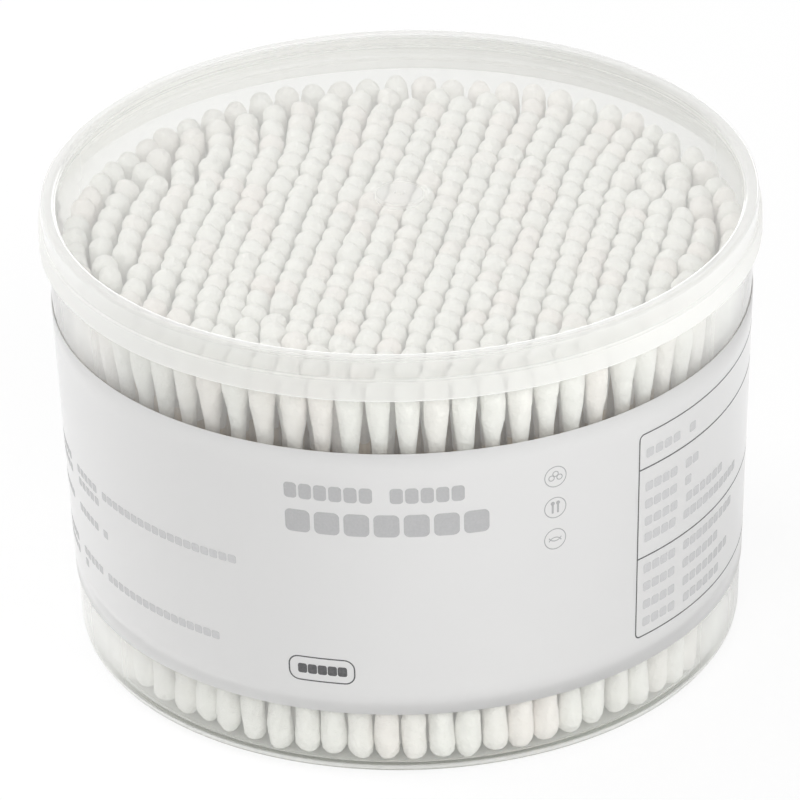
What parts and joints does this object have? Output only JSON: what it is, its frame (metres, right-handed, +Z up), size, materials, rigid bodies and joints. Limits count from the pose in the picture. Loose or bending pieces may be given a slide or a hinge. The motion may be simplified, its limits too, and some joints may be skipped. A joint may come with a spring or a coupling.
{
  "type": "box of cotton swabs",
  "caption": "Round clear plastic tub with a push-on lid and a wrap-round label, full of double-ended cotton swabs standing on end.",
  "frame": {"origin": "centre of the tub's foot, on the surface it stands on", "axes": "+Z up along the tub's axis; -Y is the label's front, +Y its seam at the back"},
  "size_m": [0.1272, 0.1272, 0.0848],
  "materials": {
    "tub_plastic": "clear, slightly milky moulded polypropylene",
    "lid_plastic": "clear moulded polypropylene with a polished panel",
    "label_paper": "matt coated paper with dark grey print",
    "bamboo": "plain turned bamboo",
    "cotton": "wound bleached cotton"
  },
  "bodies": {
    "tub": {"tub": "tub_plastic", "label": "label_paper", "swab_sticks_row_01": "bamboo", "swab_sticks_row_02": "bamboo", "swab_sticks_row_03": "bamboo", "swab_sticks_row_04": "bamboo", "swab_sticks_row_05": "bamboo", "swab_sticks_row_06": "bamboo", "swab_sticks_row_07": "bamboo", "swab_sticks_row_08": "bamboo", "swab_sticks_row_09": "bamboo", "swab_sticks_row_10": "bamboo", "swab_sticks_row_11": "bamboo", "swab_sticks_row_12": "bamboo", "swab_sticks_row_13": "bamboo", "swab_sticks_row_14": "bamboo", "swab_sticks_row_15": "bamboo", "swab_sticks_row_16": "bamboo", "swab_sticks_row_17": "bamboo", "swab_sticks_row_18": "bamboo", "swab_sticks_row_19": "bamboo", "swab_sticks_row_20": "bamboo", "swab_sticks_row_21": "bamboo", "swab_sticks_row_22": "bamboo", "swab_sticks_row_23": "bamboo", "swab_sticks_row_24": "bamboo", "swab_sticks_row_25": "bamboo", "swab_sticks_row_26": "bamboo", "swab_sticks_row_27": "bamboo", "cotton_heads_row_01": "cotton", "cotton_heads_row_02": "cotton", "cotton_heads_row_03": "cotton", "cotton_heads_row_04": "cotton", "cotton_heads_row_05": "cotton", "cotton_heads_row_06": "cotton", "cotton_heads_row_07": "cotton", "cotton_heads_row_08": "cotton", "cotton_heads_row_09": "cotton", "cotton_heads_row_10": "cotton", "cotton_heads_row_11": "cotton", "cotton_heads_row_12": "cotton", "cotton_heads_row_13": "cotton", "cotton_heads_row_14": "cotton", "cotton_heads_row_15": "cotton", "cotton_heads_row_16": "cotton", "cotton_heads_row_17": "cotton", "cotton_heads_row_18": "cotton", "cotton_heads_row_19": "cotton", "cotton_heads_row_20": "cotton", "cotton_heads_row_21": "cotton", "cotton_heads_row_22": "cotton", "cotton_heads_row_23": "cotton", "cotton_heads_row_24": "cotton", "cotton_heads_row_25": "cotton", "cotton_heads_row_26": "cotton", "cotton_heads_row_27": "cotton"},
    "lid": {"lid": "lid_plastic"}
  },
  "joints": [
    {"name": "lid_lift", "type": "slide", "parent": "tub", "child": "lid", "axis": [0, 0, 1], "range_m": [0, 0.03]}
  ]
}
